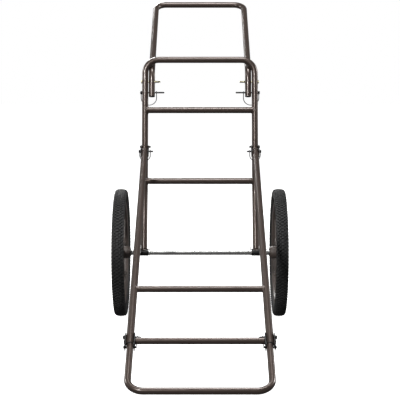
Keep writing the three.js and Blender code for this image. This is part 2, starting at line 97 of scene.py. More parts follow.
class CartTubes(bpy.types.PropertyGroup):
    """Sizes of the bent tubes."""
    tube_radius: length("Tube radius", "Outer radius of the main tubes", 12.7 * MM)
    small_radius: length("Small tube radius", "Outer radius of the foot and bed crossbar tubes", 11.1 * MM)
    wall: length("Wall", "Wall thickness of every tube", 1.6 * MM)
    rail_x: length("Rail offset", "From the middle of the cart to a leg or bed rail", 225 * MM)
    leg_bend_y: length("Leg bend depth", "From the axle back to the bend in the legs", 95 * MM)
    leg_bend_z: length("Leg bend height", "From the axle up to the bend in the legs", 234 * MM)
    top_bar_y: length("Top bar depth", "From the axle back to the top bar", 196 * MM)
    top_bar_z: length("Top bar height", "From the axle up to the top bar", 770 * MM)
    leg_bend_radius: length("Leg bend radius", "Bend radius of the legs", 120 * MM)
    top_corner_radius: length("Top corner radius", "Bend radius beside the top bar", 55 * MM)
    upper_crossbar_z: length("Upper crossbar height", "From the axle up to the upper crossbar", 565 * MM)
    middle_crossbar_z: length("Middle crossbar height", "From the axle up to the middle crossbar", 278 * MM)
    handle_x: length("Handle offset", "From the middle of the cart to a handle arm", 197.75 * MM)
    handle_tail: length("Handle tail", "From the handle bolt down to the arm's end", 60 * MM)
    handle_kink: length("Handle kink", "From the handle bolt up to the bend in the arm", 44 * MM)
    handle_reach: length("Handle reach", "From the bend in the arm to the grip", 597 * MM)
    handle_rise: angle("Handle rise", "Slope of the arms behind the bend", 30.0)
    handle_kink_radius: length("Handle kink radius", "Bend radius of the arms", 60 * MM)
    handle_corner_radius: length("Handle corner radius", "Bend radius beside the grip", 46 * MM)
    rail_start: length("Rail start", "From the bed pin up to the rail's end", 13.4 * MM)
    rail_sweep: length("Rail sweep", "From the bed pin to the furthest corner of the rail's end", 15.6 * MM)
    rail_end: length("Rail end", "From the foot pin on to the rail's end", 36.5 * MM)
    bed_crossbar_at: length("Bed crossbar place", "From the bed pin down to the crossbar", 915.1 * MM)
    foot_start: length("Foot start", "From the foot pin to the foot tube's end", 41 * MM)
    foot_bolt: length("Foot bolt place", "From the foot pin to the bolt in the foot tube", 49 * MM)
    foot_bar_at: length("Foot bar place", "From the foot pin to the bar on the ground", 253 * MM)
    foot_crossbar_at: length("Foot crossbar place", "From the foot pin to the front crossbar", 18 * MM)
    foot_x: length("Foot offset", "From the middle of the cart to a foot tube", 223.2 * MM)
    foot_corner_radius: length("Foot corner radius", "Bend radius of the foot", 50 * MM)


class CartHardware(bpy.types.PropertyGroup):
    """Sizes of brackets, pins, bolts and wires."""
    sheet: length("Sheet", "Thickness of the bracket ears", 3 * MM)
    bracket_inside: length("Bracket half width", "From a rail's middle to an ear", 13.3 * MM)
    pin_radius: length("Pin radius", "Radius of a lock pin", 3.2 * MM)
    bolt_radius: length("Bolt radius", "Radius of a bolt's shank", 3.95 * MM)
    wire_radius: length("Wire radius", "Radius of a bail's wire", 1.6 * MM)
    clip_radius: length("Hairpin radius", "Radius of a hairpin's wire", 1.4 * MM)
    gap: length("Gap", "Play between pieces that touch", 0.3 * MM)
    pin_flange: length("Pin flange", "Thickness of a lock pin's flange", 1.8 * MM)
    pin_flange_radius: length("Pin flange radius", "Radius of a lock pin's flange", 7.5 * MM)
    pin_button: length("Pin button", "Thickness of a lock pin's end button", 1.8 * MM)
    pin_button_radius: length("Pin button radius", "Radius of a lock pin's end button", 6.5 * MM)
    handle_pin_tip: length("Handle pin tip", "From the middle to a handle lock pin's tip", 146.6 * MM)
    short_pin_tip: length("Short pin tip", "From the middle to the other pins' tips", 190.5 * MM)
    bail_eye_offset: length("Bail eye offset", "From the last tube or ear to a bail's inner eye", 6.5 * MM)
    big_head: length("Handle bolt head", "Radius of a handle bolt's head", 8 * MM)
    small_head: length("Bracket bolt head", "Radius of a bracket bolt's head", 6.5 * MM)
    handle_bolt_reach: length("Handle bolt reach", "Thread that shows inside a handle arm", 22 * MM)
    bracket_bolt_reach: length("Bracket bolt reach", "Thread that shows inside a bracket", 7 * MM)
    push_nut_radius: length("Push nut radius", "Radius of a handle bolt's push-on nut", 6.5 * MM)
    thread_pitch: length("Thread pitch", "Pitch of every bolt's thread", 1.25 * MM)
    sleeve_radius: length("Sleeve radius", "Outer radius of the axle sleeves", 14.3 * MM)
    sleeve_length: length("Sleeve length", "Length of the axle sleeves", 36 * MM)
    clip_x: length("Hairpin offset", "From the middle of the cart to a hairpin", 203.9 * MM)
    axle_radius: length("Axle radius", "Radius of the axle between the wheels", 11.1 * MM)
    journal_radius: length("Journal radius", "Radius of the axle inside a wheel", 7.9 * MM)
    shoulder_x: length("Axle shoulder", "From the middle of the cart to the axle's shoulder", 275.8 * MM)
    axle_end_x: length("Axle end", "From the middle of the cart to the axle's end", 345.5 * MM)
    handle_bail_drop: length("Handle bail drop", "How far the long bails hang", 52 * MM)
    short_bail_drop: length("Short bail drop", "How far the short bails hang", 37 * MM)
    handle_bail_corner: length("Handle bail corner", "Bend radius of the long bails", 30 * MM)
    short_bail_corner: length("Short bail corner", "Bend radius of the short bails", 21 * MM)
    handle_bail_tilt: angle("Handle bail tilt", "How far the long bails stand behind plumb", 8.83)


class CartWheels(bpy.types.PropertyGroup):
    """Sizes of the wheels and the tread."""
    wheel_radius: length("Wheel radius", "Outer radius of the tyre", 255 * MM)
    tyre_width: length("Tyre width", "Width of the tyre", 49.4 * MM)
    rim_radius: length("Rim radius", "Radius of the tyre's seat", 203 * MM)
    hub_radius: length("Hub radius", "Outer radius of the hub", 25 * MM)
    hub_bore: length("Hub bore", "Radius of the hub's bore", 11 * MM)
    hub_inner: length("Hub inner end", "From the wheel's middle to the hub's inner end", 36 * MM)
    hub_outer: length("Hub outer end", "From the wheel's middle to the hub's outer end", 24 * MM)
    spokes: IntProperty(name="Spokes", description="Number of forked spokes", default=5, min=3, max=9)
    fork_at: FloatProperty(
        name="Fork place", description="Where a spoke forks, as a share of the rim's inside", default=0.62)
    fork_spread: angle("Fork spread", "Half the angle between a spoke's arms", 18.33465)
    knobs: IntProperty(name="Knobs", description="Tread knobs in one row", default=116, min=20, max=160)
    knob_height: length("Knob height", "Depth of the tread", 4.6 * MM)


class CartFinishes(bpy.types.PropertyGroup):
    """Colours of the finishes."""
    bronze: colour("Bronze coat", "Powder coat of the tubes", (0.074, 0.053, 0.044))
    black: colour("Black steel", "Coating of brackets and pins", (0.012, 0.012, 0.012))
    zinc: colour("Zinc", "Bright plated steel", (0.66, 0.66, 0.65))
    wire: colour("Spring wire", "Dark sprung steel", (0.10, 0.10, 0.105))
    yellow_zinc: colour("Yellow zinc", "Yellow passivated steel", (0.52, 0.47, 0.30))
    wheel: colour("Wheel plastic", "Moulded wheel", (0.080, 0.062, 0.054))
    rubber: colour("Rubber", "Tyre", (0.014, 0.014, 0.014))
    plug: colour("Plug plastic", "Tube plugs and bushes", (0.014, 0.014, 0.014))
    floor: colour("Floor", "Studio floor", (0.90, 0.90, 0.90))


# ---------------------------------------------------------------- paths

def bent_path(corners, radii, steps=14):
    """Stations of a tube's centreline: straight between the corners, round at each inner one."""
    stations = [corners[0]]
    for before, corner, after, radius in zip(corners, corners[1:], corners[2:], radii):
        to_before = (before - corner).normalized()
        to_after = (after - corner).normalized()
        half = to_before.angle(to_after) / 2
        centre = corner + (to_before + to_after).normalized() * (radius / math.sin(half))
        start = corner + to_before * (radius / math.tan(half)) - centre
        end = corner + to_after * (radius / math.tan(half)) - centre
        sweep = start.angle(end)
        for step in range(steps + 1):
            share = step / steps
            spoke = start * math.sin((1 - share) * sweep) + end * math.sin(share * sweep)
            stations.append(centre + spoke / math.sin(sweep))
    stations.append(corners[-1])
    return stations


def circle_path(centre, radius, axis, steps=32):
    """Points of a closed circle round an axis."""
    turn = Vector((0, 0, 1)).rotation_difference(Vector(axis).normalized()).to_matrix()
    angles = [2 * math.pi * step / steps for step in range(steps)]
    return [centre + turn @ Vector((radius * math.cos(a), radius * math.sin(a), 0)) for a in angles]


def saddle_path(root, branch, run, branch_radius, run_radius, steps=48):
    """The closed seam where a round branch meets a round run at a right angle. Both are unit vectors."""
    side = run.cross(branch).normalized()
    up = branch.cross(side).normalized()
    points = []
    for step in range(steps):
        turn = 2 * math.pi * step / steps
        off = branch_radius * math.cos(turn)
        depth = math.sqrt(max(run_radius ** 2 - off ** 2, 0))
        points.append(root + side * off + up * branch_radius * math.sin(turn) + branch * depth)
    return points


# ---------------------------------------------------------------- meshes

def new_object(name, mesh_maker, material, smooth=35):
    """A new object from a function that fills a bmesh."""
    shape = bmesh.new()
    mesh_maker(shape)
    bmesh.ops.recalc_face_normals(shape, faces=shape.faces)
    mesh = bpy.data.meshes.new(name)
    shape.to_mesh(mesh)
    shape.free()
    if material:
        mesh.materials.append(material)
    mesh.shade_smooth()
    mesh.set_sharp_from_angle(angle=math.radians(smooth))
    piece = bpy.data.objects.new(name, mesh)
    bpy.context.scene.collection.objects.link(piece)
    return piece


def ring_frames(path, closed):
    """A point, a side vector and an up vector for each station, turning as little as they can."""
    count = len(path)
    frames = []
    side = None
    for index, point in enumerate(path):
        before = path[index - 1] if closed or index > 0 else point
        after = path[(index + 1) % count] if closed or index < count - 1 else point
        arriving = (point - before).normalized() if before is not point else Vector()
        leaving = (after - point).normalized() if after is not point else Vector()
        tangent = (arriving + leaving).normalized()
        if side is None:
            side = tangent.orthogonal().normalized()
        side = (side - tangent * side.dot(tangent)).normalized()
        stretch = 1.0
        if arriving.length and leaving.length:
            stretch = 1 / max(arriving.dot(tangent), 0.5)
        bend = (leaving - arriving)
        frames.append((point, side, tangent.cross(side), bend, stretch))
    return frames


def skin(shape, rings, closed=False, caps=True):
    """Faces between rings of vertices, with flat ends when the form is open."""
    pairs = list(zip(rings, rings[1:]))
    if closed:
        pairs.append((rings[-1], rings[0]))
    for near, far in pairs:
        for index in range(len(near)):
            after = (index + 1) % len(near)
            shape.faces.new((near[index], near[after], far[after], far[index]))
    if caps and not closed:
        shape.faces.new(rings[0])
        shape.faces.new(rings[-1])


def sweep(shape, path, radius, sides=28, closed=False, caps=True, radius_of=None):
    """A round bar along a path. radius_of(index, turn) gives an uneven radius."""
    rings = []
    for index, (point, side, up, bend, stretch) in enumerate(ring_frames(path, closed)):
        ring = []
        for step in range(sides):
            turn = 2 * math.pi * step / sides
            here = radius_of(index, turn) if radius_of else radius
            offset = (side * math.cos(turn) + up * math.sin(turn)) * here
            if bend.length > 1e-6 and stretch > 1.0005:
                towards = bend.normalized()
                offset += towards * offset.dot(towards) * (stretch - 1)
            ring.append(shape.verts.new(point + offset))
        rings.append(ring)
    skin(shape, rings, closed, caps)
    return rings


def pipe(shape, path, radius, wall, sides=32):
    """A tube along a path, open at both ends."""
    outer = sweep(shape, path, radius, sides, caps=False)
    inner = sweep(shape, path, radius - wall, sides, caps=False)
    skin(shape, [outer[0], inner[0]], caps=False)
    skin(shape, [outer[-1], inner[-1]], caps=False)


def turned_ring(shape, place, x, sides, radius_at):
    """Vertices round the X axis. radius_at(turn) gives the radius."""
    ring = []
    for step in range(sides):
        turn = 2 * math.pi * step / sides
        radius = radius_at(turn)
        point = Vector((x, radius * math.cos(turn), radius * math.sin(turn)))
        ring.append(shape.verts.new(place @ point))
    return ring


def lathe(shape, profile, place, sides=40, hollow=False):
    """A form turned about the X axis from [radius, x] points, moved by a matrix."""
    rings = [turned_ring(shape, place, x, sides, lambda _turn, r=radius: r) for radius, x in profile]
    skin(shape, rings, closed=hollow)


def soften(profile, size, steps=3):
    """Rounds the inner corners of an open [radius, x] profile."""
    points = [Vector((radius, x)) for radius, x in profile]
    result = [points[0]]
    for before, corner, after in zip(points, points[1:], points[2:]):
        to_before = before - corner
        to_after = after - corner
        cut = min(size, to_before.length * 0.45, to_after.length * 0.45)
        start = corner + to_before.normalized() * cut
        end = corner + to_after.normalized() * cut
        for step in range(steps + 1):
            share = step / steps
            low = start.lerp(corner, share)
            high = corner.lerp(end, share)
            result.append(low.lerp(high, share))
    result.append(points[-1])
    return [(point.x, point.y) for point in result]


def rounded_outline(outline, radii, steps=5):
    """A closed outline with an arc at every corner."""
    points = [Vector(point) for point in outline]
    result = []
    for index, corner in enumerate(points):
        to_before = points[index - 1] - corner
        to_after = points[(index + 1) % len(points)] - corner
        cut = min(radii[index], to_before.length * 0.48, to_after.length * 0.48)
        start = corner + to_before.normalized() * cut
        end = corner + to_after.normalized() * cut
        for step in range(steps + 1):
            share = step / steps
            result.append(start.lerp(corner, share).lerp(corner.lerp(end, share), share))
    return result


def inset(outline, amount):
    """An outline moved inwards by an amount, for a broken edge."""
    moved = []
    for index, point in enumerate(outline):
        arriving = (point - outline[index - 1]).normalized()
        leaving = (outline[(index + 1) % len(outline)] - point).normalized()
        along = (arriving + leaving).normalized()
        moved.append(point + Vector((-along.y, along.x)) * amount)
    return moved


def slab(shape, outline, x0, x1, place, edge=0.5 * MM):
    """A flat plate of an outline in the YZ plane, with broken edges."""
    area = sum(a.x * b.y - b.x * a.y for a, b in zip(outline, outline[1:] + outline[:1]))
    ordered = outline if area > 0 else outline[::-1]
    small = inset(ordered, edge)
    layers = ((small, x0), (ordered, x0 + edge), (ordered, x1 - edge), (small, x1))
    rings = [[shape.verts.new(place @ Vector((x, p.x, p.y))) for p in line] for line, x in layers]
    skin(shape, rings)


def bead(shape, path, radius, seed):
    """A weld bead: overlapping ripples round a closed seam."""
    chance = random.Random(seed)
    count = len(path)
    ripples = max(count // 3, 8)
    phase = chance.random()
    sizes = [1 + 0.10 * (chance.random() - 0.5) for _ in range(count)]

    def radius_of(index, _turn):
        ripple = math.sin(2 * math.pi * (ripples * index / count + phase))
        return radius * sizes[index] * (1 + 0.12 * ripple)

    sweep(shape, path, radius, 10, closed=True, radius_of=radius_of)


# ---------------------------------------------------------------- materials

class Value:
    """A node socket that can be used in sums."""

    def __init__(self, recipe, socket):
        self.recipe = recipe
        self.socket = socket

    def _maths(self, operation, first, second):
        return self.recipe.node("ShaderNodeMath", {"operation": operation}, {0: first, 1: second})

    def __add__(self, other):
        return self._maths("ADD", self, other)

    __radd__ = __add__

    def __mul__(self, other):
        return self._maths("MULTIPLY", self, other)

    __rmul__ = __mul__


class Recipe:
    """A material being made."""

    def __init__(self, name):
        self.material = bpy.data.materials.new(name)
        self.material.use_nodes = True
        self.tree = self.material.node_tree
        self.shader = self.tree.nodes["Principled BSDF"]
        self.place = Value(self, self.tree.nodes.new("ShaderNodeTexCoord").outputs["Object"])

    def node(self, kind, settings=None, inputs=None, output=0):
        """Any node: its settings first, then the values or links of its sockets."""
        made = self.tree.nodes.new(kind)
        for key, value in (settings or {}).items():
            if key == "stops":
                self._stops(made.color_ramp, value)
            else:
                setattr(made, key, value)
        for key, value in (inputs or {}).items():
            self._plug(made.inputs[key], value)
        return Value(self, made.outputs[output])

    def _stops(self, ramp, stops):
        while len(ramp.elements) < len(stops):
            ramp.elements.new(0.5)
        for element, (position, shade) in zip(ramp.elements, stops):
            element.position = position
            element.color = (shade, shade, shade, 1)

    def _plug(self, socket, value):
        if isinstance(value, Value):
            self.tree.links.new(value.socket, socket)
        elif socket.type == "RGBA":
            socket.default_value = (*value, 1)
        else:
            socket.default_value = value

    def set(self, **values):
        """Sets or links the shader's own sockets."""
        for key, value in values.items():
            self._plug(self.shader.inputs[key.replace("_", " ")], value)

    def noise(self, scale, detail=3.0, roughness=0.55, stretch=(1, 1, 1)):
        """Soft noise with this many cells to the metre."""
        place = self.node("ShaderNodeMapping", None, {"Vector": self.place, "Scale": stretch})
        return self.node(
            "ShaderNodeTexNoise", None,
            {"Vector": place, "Scale": scale, "Detail": detail, "Roughness": roughness})

    def ramp(self, value, *stops):
        """A value led through the stops of a ramp."""
        return self.node("ShaderNodeValToRGB", {"stops": stops}, {0: value})

    def mix(self, factor, first, second):
        """One colour over another."""
        settings = {"data_type": "RGBA"}
        return self.node("ShaderNodeMix", settings, {0: factor, 6: first, 7: second}, output=2)

    def bump(self, height, strength, distance):
        """Relief on the surface."""
        self.set(Normal=self.node(
            "ShaderNodeBump", None, {"Strength": strength, "Distance": distance, "Height": height}))


def shade(base, factor):
    """A lighter or darker colour."""
    return tuple(min(channel * factor, 1) for channel in base)


def bronze_coat(base):
    """Satin powder coat: fine orange peel, faint mottling and dust."""
    coat = Recipe("bronze powder coat")
    peel = coat.noise(900, 2)
    mottle = coat.noise(14, 4)
    dust = coat.ramp(coat.noise(60, 5, 0.7), (0.55, 0), (0.8, 1))
    tone = coat.mix(mottle, shade(base, 0.86), shade(base, 1.16))
    coat.set(
        Base_Color=coat.mix(dust * 0.06, tone, shade(base, 2.0)),
        Roughness=0.30 + 0.06 * mottle + 0.10 * dust,
        Metallic=0.5,
        Coat_Weight=0.5,
        Coat_Roughness=0.16,
    )
    coat.bump(peel, 0.05, 0.0002)
    return coat.material


def black_steel(base):
    """Black coated steel with greyer scuffs."""
    coat = Recipe("black coated steel")
    scuff = coat.ramp(coat.noise(140, 6, 0.7), (0.56, 0), (0.72, 1))
    coat.set(
        Base_Color=coat.mix(scuff * 0.5, base, (0.07, 0.068, 0.065)),
        Roughness=0.42 + 0.16 * scuff,
        Metallic=0.35 + 0.3 * scuff,
    )
    coat.bump(coat.noise(700, 3), 0.15, 0.0004)
    return coat.material


def plated(name, base, dull):
    """Plated steel with drawn lines and duller patches."""
    plate = Recipe(name)
    lines = plate.noise(900, 3, 0.5, (0.02, 1, 1))
    patch = plate.ramp(plate.noise(35, 4), (0.4, 0), (0.75, 1))
    plate.set(
        Base_Color=plate.mix(patch, base, shade(base, dull)),
        Roughness=0.22 + 0.14 * patch + 0.10 * lines,
        Metallic=1.0,
    )
    plate.bump(lines, 0.08, 0.0002)
    return plate.material


def moulded(name, base, grain, gloss):
    """Moulded plastic with a fine spark-eroded grain."""
    plastic = Recipe(name)
    fine = plastic.noise(grain, 3, 0.6)
    broad = plastic.noise(18, 3)
    plastic.set(
        Base_Color=plastic.mix(broad, shade(base, 0.85), shade(base, 1.2)),
        Roughness=gloss + 0.15 * fine,
    )
    plastic.bump(fine, 0.2, 0.0004)
    return plastic.material


def tyre_rubber(base):
    """Dull rubber, dustier in patches."""
    rubber = Recipe("tyre rubber")
    dust = rubber.ramp(rubber.noise(45, 6, 0.7), (0.42, 0), (0.75, 1))
    fine = rubber.noise(800, 3, 0.6)
    rubber.set(
        Base_Color=rubber.mix(dust * 0.45, base, shade(base, 2.6)),
        Roughness=0.62 + 0.2 * dust,
    )
    rubber.bump(fine, 0.25, 0.0005)
    return rubber.material


def studio_floor(base):
    """Matt painted floor."""
    paint = Recipe("studio floor")
    paint.set(
        Base_Color=paint.mix(paint.noise(2, 2), shade(base, 0.99), base),
        Roughness=0.85,
        Emission_Color=(1, 1, 1),
        Emission_Strength=1.0,
    )
    return paint.material


MAKERS = {
    "bronze_coat": lambda f: bronze_coat(tuple(f.bronze)),
    "black_steel": lambda f: black_steel(tuple(f.black)),
    "zinc": lambda f: plated("bright zinc", tuple(f.zinc), 0.7),
    "spring_wire": lambda f: plated("sprung wire", tuple(f.wire), 0.7),
    "yellow_zinc": lambda f: plated("yellow zinc", tuple(f.yellow_zinc), 0.75),
    "wheel_plastic": lambda f: moulded("moulded wheel plastic", tuple(f.wheel), 600, 0.42),
    "tyre_rubber": lambda f: tyre_rubber(tuple(f.rubber)),
    "plug_plastic": lambda f: moulded("plug plastic", tuple(f.plug), 700, 0.48),
    "bush_plastic": lambda f: moulded("bush nylon", shade(tuple(f.plug), 1.6), 500, 0.4),
    "floor": lambda f: studio_floor(tuple(f.floor)),
}
FINISHES = {}


def finish(slot):
    """The material of one of the record's slots, made when it is first asked for."""
    if slot not in FINISHES:
        FINISHES[slot] = MAKERS[slot](bpy.context.scene.cart_finishes)
    return FINISHES[slot]


def drill(piece, holes, smooth):
    """Cuts round holes through a piece, each given as two ends and a radius."""
    for start, end, radius in holes:
        cutter = new_object("drill", lambda s, a=start, b=end, r=radius: sweep(s, [a, b], r, 32), None)
        cut = piece.modifiers.new("hole", "BOOLEAN")
        cut.operation = "DIFFERENCE"
        cut.solver = "EXACT"
        cut.object = cutter
        solid = piece.data
        seen = piece.evaluated_get(bpy.context.evaluated_depsgraph_get())
        piece.data = bpy.data.meshes.new_from_object(seen)
        piece.modifiers.clear()
        bpy.data.meshes.remove(solid)
        bpy.data.meshes.remove(cutter.data)
    piece.data.shade_smooth()
    piece.data.set_sharp_from_angle(angle=math.radians(smooth))


def pin_bore(hardware):
    return hardware.pin_radius + hardware.gap


def bolt_bore(hardware):
    return hardware.bolt_radius + hardware.gap


def across(place, radius):
    """A hole along X through both sides of the cart."""
    half = Vector((HOLE_REACH, 0, 0))
    return place - half, place + half, radius


def add_piece(name, mesh_maker, slot, body, *nodes, smooth=35, holes=()):
    """A piece that rides on a body and stands for the frame's nodes."""
    piece = new_object(name, mesh_maker, finish(slot), smooth)
    if holes:
        drill(piece, holes, smooth)
    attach(piece, body)
    if nodes:
        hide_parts(*nodes)
    return piece


# ---------------------------------------------------------------- places

def at(x, y, z):
    """A point measured from the axle."""
    return Vector((x, AXLE_AT.y + y, AXLE_AT.z + z))


def on_bed(x, reach):
    """A point on the bed line, this far down from the bed pin."""
    return BED_PIN_AT + BED_LINE * reach + Vector((x, 0, 0))


def bed_normal():
    """Unit vector square to the bed, upwards."""
    return Vector((0, -BED_LINE.z, BED_LINE.y)) * math.copysign(1, BED_LINE.y)


def foot_reach(distance):
    """Distance from the bed pin of a point measured from the foot pin."""
    return (FOOT_PIN_AT - BED_PIN_AT).length + distance


def placed(point, flip):
    """A matrix that moves to a point and may mirror X."""
    return Matrix.Translation(point) @ Matrix.Diagonal((flip, 1, 1, 1))


def upright_line(tubes):
    """Unit vector up the legs above their bend."""
    return Vector((0, tubes.top_bar_y - tubes.leg_bend_y, tubes.top_bar_z - tubes.leg_bend_z)).normalized()


def on_upright(tubes, x, height):
    """A point on the upright's straight part at a height over the axle."""
    line = upright_line(tubes)
    share = (height - tubes.leg_bend_z) / line.z
    return at(x, tubes.leg_bend_y, tubes.leg_bend_z) + line * share


# ---------------------------------------------------------------- operators

class CartOperator:
    """What the cart's operators share."""
    bl_options = {"REGISTER", "UNDO"}

    def execute(self, context):
        scene = context.scene
        self.build(scene.cart_tubes, scene.cart_hardware, scene.cart_wheels)
        return {"FINISHED"}


class CART_OT_upright(CartOperator, bpy.types.Operator):
    """Add the bent upright frame, its two crossbars and their welds"""
    bl_idname = "cart.upright"
    bl_label = "Upright"

    def build(self, tubes, hardware, _wheels):
        x = tubes.rail_x
        leg_top = hardware.sleeve_radius - 1 * MM
        leg = Vector((0, tubes.leg_bend_y, tubes.leg_bend_z)).normalized()
        corners = []
        for side in (-1, 1):
            points = [
                AXLE_AT + Vector((side * x, 0, 0)) + leg * leg_top,
                at(side * x, tubes.leg_bend_y, tubes.leg_bend_z),
                at(side * x, tubes.top_bar_y, tubes.top_bar_z),
            ]
            corners += points if side < 0 else points[::-1]
        radii = (
            tubes.leg_bend_radius, tubes.top_corner_radius,
            tubes.top_corner_radius, tubes.leg_bend_radius)
        path = bent_path(corners, radii)
        add_piece(
            "upright_tube", lambda s: pipe(s, path, tubes.tube_radius, tubes.wall),
            "bronze_coat", "upright", "upright_frame", holes=[
                across(HANDLE_BOLT_AT, bolt_bore(hardware)),
                across(HANDLE_LOCK_AT, pin_bore(hardware)),
                across(on_upright_from_bed(tubes), bolt_bore(hardware)),
            ])
        bars = (("upper_crossbar", tubes.upper_crossbar_z), ("middle_crossbar", tubes.middle_crossbar_z))
        for name, height in bars:
            ends = [on_upright(tubes, side * (x - 3 * MM), height) for side in (-1, 1)]
            add_piece(
                f"{name}_tube", lambda s, e=ends: pipe(s, e, tubes.tube_radius, tubes.wall),
                "bronze_coat", "upright", name)
        self.welds(tubes, hardware, leg)

    def welds(self, tubes, hardware, leg):
        line = upright_line(tubes)

        def fill(shape):
            for number, height in enumerate((tubes.upper_crossbar_z, tubes.middle_crossbar_z)):
                for side in (-1, 1):
                    root = on_upright(tubes, side * tubes.rail_x, height)
                    seam = saddle_path(
                        root, Vector((-side, 0, 0)), line, tubes.tube_radius * 1.02, tubes.tube_radius)
                    bead(shape, seam, 1.9 * MM, 10 * number + side)
            for side in (-1, 1):
                root = AXLE_AT + Vector((side * tubes.rail_x, 0, 0))
                seam = saddle_path(
                    root, leg, Vector((1, 0, 0)), tubes.tube_radius * 1.02, hardware.sleeve_radius)
                bead(shape, seam, 1.9 * MM, 30 + side)

        add_piece("upright_welds", fill, "bronze_coat", "upright")


class CART_OT_axle(CartOperator, bpy.types.Operator):
    """Add the axle with its sleeves, washers, end caps and hairpins"""
    bl_idname = "cart.axle"
    bl_label = "Axle"

    def build(self, tubes, hardware, wheels):
        here = Matrix.Translation(AXLE_AT)
        journal = hardware.journal_radius
        radius = hardware.axle_radius
        shoulder = hardware.shoulder_x
        end = hardware.axle_end_x
        bar = [
            (journal - 1 * MM, -end), (journal, -end + 1 * MM), (journal, -shoulder),
            (radius - 1 * MM, -shoulder), (radius, -shoulder + 1 * MM),
            (radius, shoulder - 1 * MM), (radius - 1 * MM, shoulder),
            (journal, shoulder), (journal, end - 1 * MM), (journal - 1 * MM, end),
        ]
        clip_bore = hardware.clip_radius + hardware.gap
        clip_holes = [
            (AXLE_AT + Vector((side * hardware.clip_x, 0, -2 * radius)),
             AXLE_AT + Vector((side * hardware.clip_x, 0, 2 * radius)), clip_bore)
            for _, side in SIDES]
        add_piece(
            "axle_bar", lambda s: lathe(s, bar, here, 48), "zinc", "upright", "axle", holes=clip_holes)
        bore = journal + hardware.gap
        hub_face = WHEEL_X + wheels.hub_outer + 1.7 * MM
        cap = soften([
            (bore, hub_face + 0.3 * MM), (13 * MM, hub_face + 0.3 * MM), (13 * MM, hub_face + 3 * MM),
            (10 * MM, end + 2.5 * MM), (1 * MM, end + 3.2 * MM),
        ], 1.2 * MM)
        cap.append((1 * MM, end + hardware.gap))
        cap.append((bore, end + hardware.gap))
        washer_end = WHEEL_X - wheels.hub_inner - 2 * MM
        washer = soften([
            (bore, shoulder + hardware.gap), (15 * MM, shoulder + hardware.gap),
            (15 * MM, washer_end), (bore, washer_end),
        ], 0.4 * MM)
        half = hardware.sleeve_length / 2
        sleeve_bore = radius + hardware.gap
        sleeve = soften([
            (sleeve_bore, tubes.rail_x - half), (hardware.sleeve_radius, tubes.rail_x - half),
            (hardware.sleeve_radius, tubes.rail_x + half), (sleeve_bore, tubes.rail_x + half),
        ], 1.2 * MM)
        for name, side in SIDES:
            place = here @ Matrix.Diagonal((side, 1, 1, 1))
            for label, profile, slot in (
                ("axle_cap", cap, "black_steel"), ("axle_washer", washer, "zinc"),
                ("axle_sleeve", sleeve, "black_steel"),
            ):
                add_piece(
                    f"{label}_turned_{name}", lambda s, p=profile, m=place: lathe(s, p, m, 40, hollow=True),
                    slot, "upright", f"{label}_{name}")
            self.hairpin(hardware, name, side)

    def hairpin(self, hardware, name, side):
        radius = hardware.axle_radius
        hug = radius + hardware.clip_radius + 0.6 * MM
        top = radius + 14 * MM
        outline = (
            (0, -radius - 14 * MM), (0, top), (hug + 3 * MM, top), (hug + 1 * MM, 5 * MM),
            (hug, -4 * MM), (hug + 5 * MM, -radius - 3 * MM),
        )
        corners = [AXLE_AT + Vector((side * hardware.clip_x, y, z)) for y, z in outline]
        path = bent_path(corners, (6.5 * MM, 6.5 * MM, 10 * MM, 10 * MM), 8)
        add_piece(
            f"hairpin_wire_{name}", lambda s: sweep(s, path, hardware.clip_radius, 12),
            "zinc", f"axle_clip_{name}", f"hairpin_{name}")


class CART_OT_handle(CartOperator, bpy.types.Operator):
    """Add the bent pull handle and its end plugs"""
    bl_idname = "cart.handle"
    bl_label = "Handle"

    def build(self, tubes, hardware, _wheels):
        line = upright_line(tubes)
        grip_line = Vector((0, math.cos(tubes.handle_rise), math.sin(tubes.handle_rise)))
        corners = []
        for side in (-1, 1):
            out = Vector((side * tubes.handle_x, 0, 0))
            kink = HANDLE_BOLT_AT + out + line * tubes.handle_kink
            tail = HANDLE_BOLT_AT + out - line * tubes.handle_tail
            points = [tail, kink, kink + grip_line * tubes.handle_reach]
            corners += points if side < 0 else points[::-1]
        radii = (
            tubes.handle_kink_radius, tubes.handle_corner_radius,
            tubes.handle_corner_radius, tubes.handle_kink_radius)
        path = bent_path(corners, radii)
        add_piece(
            "handle_tube", lambda s: pipe(s, path, tubes.tube_radius, tubes.wall),
            "bronze_coat", "handle", "handle_frame", holes=self.holes(hardware))
        for name, side in SIDES:
            end = HANDLE_BOLT_AT + Vector((side * tubes.handle_x, 0, 0)) - line * tubes.handle_tail
            place = Matrix.Translation(end) @ (-line).to_track_quat("X", "Y").to_matrix().to_4x4()
            add_piece(
                f"handle_end_plug_{name}", lambda s, m=place: lathe(s, plug_profile(tubes), m, 36),
                "plug_plastic", "handle", f"handle_plug_{name}")


    def holes(self, hardware):
        """The bolt's hole, and the lock pin's hole with the notch that opens it to the back."""
        arm = HANDLE_LOCK_AT - HANDLE_BOLT_AT
        made = [across(HANDLE_BOLT_AT, bolt_bore(hardware))]
        for step in range(NOTCH_STEPS + 1):
            swing = Matrix.Rotation(math.radians(NOTCH_STEP * step), 3, "X")
            made.append(across(HANDLE_BOLT_AT + swing @ arm, pin_bore(hardware)))
        return made


def plug_profile(tubes):
    """Half section of a plug: stem inside the tube, domed head outside."""
    inside = tubes.tube_radius - tubes.wall - 0.2 * MM
    radius = tubes.tube_radius
    return soften([
        (0.5 * MM, -8 * MM), (inside, -8 * MM), (inside, 0.2 * MM), (radius - 0.2 * MM, 0.2 * MM),
        (radius - 0.4 * MM, 1.8 * MM), (radius - 4 * MM, 2.8 * MM), (0.5 * MM, 2.9 * MM),
    ], 0.8 * MM)


